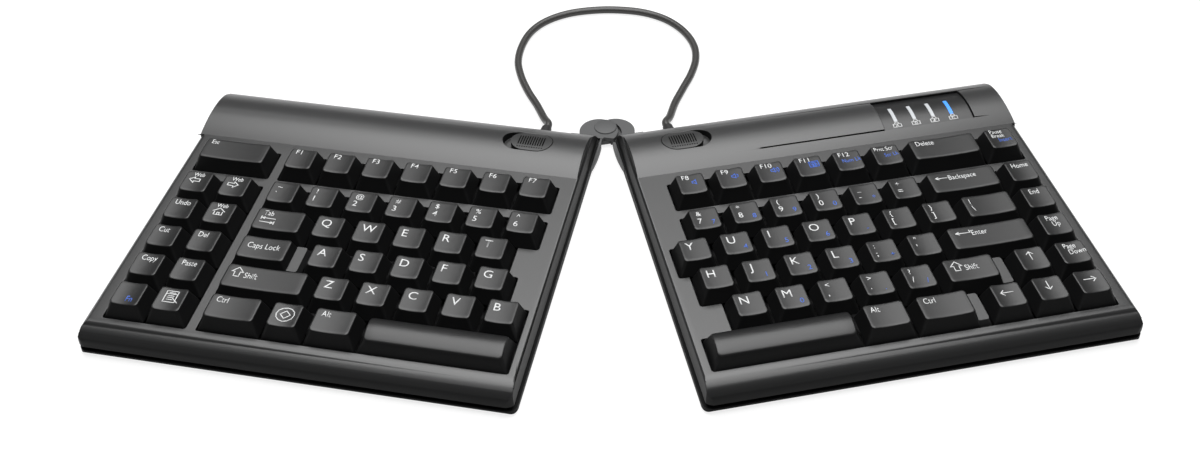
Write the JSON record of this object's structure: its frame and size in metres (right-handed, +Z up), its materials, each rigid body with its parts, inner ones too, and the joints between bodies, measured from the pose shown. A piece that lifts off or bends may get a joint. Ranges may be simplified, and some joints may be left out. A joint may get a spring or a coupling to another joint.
{
  "type": "split keyboard",
  "caption": "Split computer keyboard: flat key modules with rolled fronts and rear humps, release sliders, a status window, a swivel tether at the inner rear corners and a link cable.",
  "frame": {"origin": "on the desk, under the centre of the box around the two modules, the cable left out", "axes": "+X to the user's right, +Y away from the user, +Z up from the desk"},
  "size_m": [0.4616, 0.2974, 0.023],
  "materials": {
    "cover": "fine matte texture",
    "lower_case": "matte",
    "key_frame": "matte",
    "dome_rubber": "translucent silicone",
    "film": "printed film",
    "steel": "bright",
    "board": "solder mask",
    "slider": "fine ribs",
    "rubber": "matte",
    "tether": "matte",
    "window": "satin",
    "light_pipe": "clear",
    "cable": "smooth jacket",
    "keycap": "fine matte with printed legends"
  },
  "bodies": {
    "left_module": {"left_top_cover": "cover", "left_bottom_case": "lower_case", "left_key_frame": "key_frame", "left_dome_sheet": "dome_rubber", "left_membrane": "film", "left_backing_plate": "steel", "left_connector_board": "board", "left_slider_spring": "steel", "left_rubber_feet": "rubber", "left_case_screws": "steel", "left_cable_grommet": "rubber", "tether_left_arm": "tether", "tether_pivot_pin": "steel", "link_cable": "cable"},
    "right_module": {"right_top_cover": "cover", "right_bottom_case": "lower_case", "right_key_frame": "key_frame", "right_dome_sheet": "dome_rubber", "right_membrane": "film", "right_backing_plate": "steel", "right_controller_board": "board", "right_slider_spring": "steel", "right_rubber_feet": "rubber", "right_case_screws": "steel", "right_cable_grommet": "rubber", "host_cable_gland": "rubber", "status_window": "window", "status_light_pipes": "light_pipe", "tether_right_arm": "tether"},
    "left_slider_body": {"left_release_slider": "slider"},
    "right_slider_body": {"right_release_slider": "slider"},
    "esc_key_body": {"esc_key": "keycap"},
    "left_function_keys_body": {"left_function_keys": "keycap"},
    "hot_keys_body": {"hot_keys": "keycap"},
    "left_number_keys_body": {"left_number_keys": "keycap"},
    "tab_key_body": {"tab_key": "keycap"},
    "left_upper_keys_body": {"left_upper_keys": "keycap"},
    "caps_lock_key_body": {"caps_lock_key": "keycap"},
    "left_home_keys_body": {"left_home_keys": "keycap"},
    "left_shift_key_body": {"left_shift_key": "keycap"},
    "left_lower_keys_body": {"left_lower_keys": "keycap"},
    "left_ctrl_key_body": {"left_ctrl_key": "keycap"},
    "system_key_body": {"system_key": "keycap"},
    "left_alt_key_body": {"left_alt_key": "keycap"},
    "left_space_bar_body": {"left_space_bar": "keycap"},
    "right_function_keys_body": {"right_function_keys": "keycap"},
    "delete_key_body": {"delete_key": "keycap"},
    "right_number_keys_body": {"right_number_keys": "keycap"},
    "backspace_key_body": {"backspace_key": "keycap"},
    "navigation_keys_body": {"navigation_keys": "keycap"},
    "right_upper_keys_body": {"right_upper_keys": "keycap"},
    "backslash_key_body": {"backslash_key": "keycap"},
    "right_home_keys_body": {"right_home_keys": "keycap"},
    "enter_key_body": {"enter_key": "keycap"},
    "right_lower_keys_body": {"right_lower_keys": "keycap"},
    "right_shift_key_body": {"right_shift_key": "keycap"},
    "arrow_keys_body": {"arrow_keys": "keycap"},
    "right_space_bar_body": {"right_space_bar": "keycap"},
    "right_alt_key_body": {"right_alt_key": "keycap"},
    "right_ctrl_key_body": {"right_ctrl_key": "keycap"}
  },
  "joints": [
    {"name": "splay", "type": "hinge", "parent": "left_module", "child": "right_module", "pos_m": [0, 0.07836, 0], "axis": [0, 0, 1], "range_deg": [-23.3, 6], "deforming": ["link_cable"]},
    {"name": "left_release", "type": "slide", "parent": "left_module", "child": "left_slider_body", "axis": [-0.9794, 0.2019, 0], "range_m": [0, 0.0038], "stiffness_N_per_m": 400, "springref_m": -0.002, "deforming": ["left_slider_spring"]},
    {"name": "right_release", "type": "slide", "parent": "right_module", "child": "right_slider_body", "axis": [0.9794, 0.2019, 0], "range_m": [0, 0.0038], "stiffness_N_per_m": 400, "springref_m": -0.002, "deforming": ["right_slider_spring"]},
    {"name": "esc_key_press", "type": "slide", "parent": "left_module", "child": "esc_key_body", "axis": [0, 0, -1], "range_m": [0, 0.0035], "stiffness_N_per_m": 150, "springref_m": -0.002, "deforming": ["left_dome_sheet"]},
    {"name": "left_function_keys_press", "type": "slide", "parent": "left_module", "child": "left_function_keys_body", "axis": [0, 0, -1], "range_m": [0, 0.0035], "stiffness_N_per_m": 1050, "springref_m": -0.002, "deforming": ["left_dome_sheet"]},
    {"name": "hot_keys_press", "type": "slide", "parent": "left_module", "child": "hot_keys_body", "axis": [0, 0, -1], "range_m": [0, 0.0035], "stiffness_N_per_m": 1500, "springref_m": -0.002, "deforming": ["left_dome_sheet"]},
    {"name": "left_number_keys_press", "type": "slide", "parent": "left_module", "child": "left_number_keys_body", "axis": [0, 0, -1], "range_m": [0, 0.0035], "stiffness_N_per_m": 1050, "springref_m": -0.002, "deforming": ["left_dome_sheet"]},
    {"name": "tab_key_press", "type": "slide", "parent": "left_module", "child": "tab_key_body", "axis": [0, 0, -1], "range_m": [0, 0.0035], "stiffness_N_per_m": 150, "springref_m": -0.002, "deforming": ["left_dome_sheet"]},
    {"name": "left_upper_keys_press", "type": "slide", "parent": "left_module", "child": "left_upper_keys_body", "axis": [0, 0, -1], "range_m": [0, 0.0035], "stiffness_N_per_m": 750, "springref_m": -0.002, "deforming": ["left_dome_sheet"]},
    {"name": "caps_lock_key_press", "type": "slide", "parent": "left_module", "child": "caps_lock_key_body", "axis": [0, 0, -1], "range_m": [0, 0.0035], "stiffness_N_per_m": 150, "springref_m": -0.002, "deforming": ["left_dome_sheet"]},
    {"name": "left_home_keys_press", "type": "slide", "parent": "left_module", "child": "left_home_keys_body", "axis": [0, 0, -1], "range_m": [0, 0.0035], "stiffness_N_per_m": 750, "springref_m": -0.002, "deforming": ["left_dome_sheet"]},
    {"name": "left_shift_key_press", "type": "slide", "parent": "left_module", "child": "left_shift_key_body", "axis": [0, 0, -1], "range_m": [0, 0.0035], "stiffness_N_per_m": 150, "springref_m": -0.002, "deforming": ["left_dome_sheet"]},
    {"name": "left_lower_keys_press", "type": "slide", "parent": "left_module", "child": "left_lower_keys_body", "axis": [0, 0, -1], "range_m": [0, 0.0035], "stiffness_N_per_m": 750, "springref_m": -0.002, "deforming": ["left_dome_sheet"]},
    {"name": "left_ctrl_key_press", "type": "slide", "parent": "left_module", "child": "left_ctrl_key_body", "axis": [0, 0, -1], "range_m": [0, 0.0035], "stiffness_N_per_m": 150, "springref_m": -0.002, "deforming": ["left_dome_sheet"]},
    {"name": "system_key_press", "type": "slide", "parent": "left_module", "child": "system_key_body", "axis": [0, 0, -1], "range_m": [0, 0.0035], "stiffness_N_per_m": 150, "springref_m": -0.002, "deforming": ["left_dome_sheet"]},
    {"name": "left_alt_key_press", "type": "slide", "parent": "left_module", "child": "left_alt_key_body", "axis": [0, 0, -1], "range_m": [0, 0.0035], "stiffness_N_per_m": 150, "springref_m": -0.002, "deforming": ["left_dome_sheet"]},
    {"name": "left_space_bar_press", "type": "slide", "parent": "left_module", "child": "left_space_bar_body", "axis": [0, 0, -1], "range_m": [0, 0.0035], "stiffness_N_per_m": 150, "springref_m": -0.002, "deforming": ["left_dome_sheet"]},
    {"name": "right_function_keys_press", "type": "slide", "parent": "right_module", "child": "right_function_keys_body", "axis": [0, 0, -1], "range_m": [0, 0.0035], "stiffness_N_per_m": 1050, "springref_m": -0.002, "deforming": ["right_dome_sheet"]},
    {"name": "delete_key_press", "type": "slide", "parent": "right_module", "child": "delete_key_body", "axis": [0, 0, -1], "range_m": [0, 0.0035], "stiffness_N_per_m": 150, "springref_m": -0.002, "deforming": ["right_dome_sheet"]},
    {"name": "right_number_keys_press", "type": "slide", "parent": "right_module", "child": "right_number_keys_body", "axis": [0, 0, -1], "range_m": [0, 0.0035], "stiffness_N_per_m": 900, "springref_m": -0.002, "deforming": ["right_dome_sheet"]},
    {"name": "backspace_key_press", "type": "slide", "parent": "right_module", "child": "backspace_key_body", "axis": [0, 0, -1], "range_m": [0, 0.0035], "stiffness_N_per_m": 150, "springref_m": -0.002, "deforming": ["right_dome_sheet"]},
    {"name": "navigation_keys_press", "type": "slide", "parent": "right_module", "child": "navigation_keys_body", "axis": [0, 0, -1], "range_m": [0, 0.0035], "stiffness_N_per_m": 600, "springref_m": -0.002, "deforming": ["right_dome_sheet"]},
    {"name": "right_upper_keys_press", "type": "slide", "parent": "right_module", "child": "right_upper_keys_body", "axis": [0, 0, -1], "range_m": [0, 0.0035], "stiffness_N_per_m": 1050, "springref_m": -0.002, "deforming": ["right_dome_sheet"]},
    {"name": "backslash_key_press", "type": "slide", "parent": "right_module", "child": "backslash_key_body", "axis": [0, 0, -1], "range_m": [0, 0.0035], "stiffness_N_per_m": 150, "springref_m": -0.002, "deforming": ["right_dome_sheet"]},
    {"name": "right_home_keys_press", "type": "slide", "parent": "right_module", "child": "right_home_keys_body", "axis": [0, 0, -1], "range_m": [0, 0.0035], "stiffness_N_per_m": 900, "springref_m": -0.002, "deforming": ["right_dome_sheet"]},
    {"name": "enter_key_press", "type": "slide", "parent": "right_module", "child": "enter_key_body", "axis": [0, 0, -1], "range_m": [0, 0.0035], "stiffness_N_per_m": 150, "springref_m": -0.002, "deforming": ["right_dome_sheet"]},
    {"name": "right_lower_keys_press", "type": "slide", "parent": "right_module", "child": "right_lower_keys_body", "axis": [0, 0, -1], "range_m": [0, 0.0035], "stiffness_N_per_m": 750, "springref_m": -0.002, "deforming": ["right_dome_sheet"]},
    {"name": "right_shift_key_press", "type": "slide", "parent": "right_module", "child": "right_shift_key_body", "axis": [0, 0, -1], "range_m": [0, 0.0035], "stiffness_N_per_m": 150, "springref_m": -0.002, "deforming": ["right_dome_sheet"]},
    {"name": "arrow_keys_press", "type": "slide", "parent": "right_module", "child": "arrow_keys_body", "axis": [0, 0, -1], "range_m": [0, 0.0035], "stiffness_N_per_m": 600, "springref_m": -0.002, "deforming": ["right_dome_sheet"]},
    {"name": "right_space_bar_press", "type": "slide", "parent": "right_module", "child": "right_space_bar_body", "axis": [0, 0, -1], "range_m": [0, 0.0035], "stiffness_N_per_m": 150, "springref_m": -0.002, "deforming": ["right_dome_sheet"]},
    {"name": "right_alt_key_press", "type": "slide", "parent": "right_module", "child": "right_alt_key_body", "axis": [0, 0, -1], "range_m": [0, 0.0035], "stiffness_N_per_m": 150, "springref_m": -0.002, "deforming": ["right_dome_sheet"]},
    {"name": "right_ctrl_key_press", "type": "slide", "parent": "right_module", "child": "right_ctrl_key_body", "axis": [0, 0, -1], "range_m": [0, 0.0035], "stiffness_N_per_m": 150, "springref_m": -0.002, "deforming": ["right_dome_sheet"]}
  ]
}
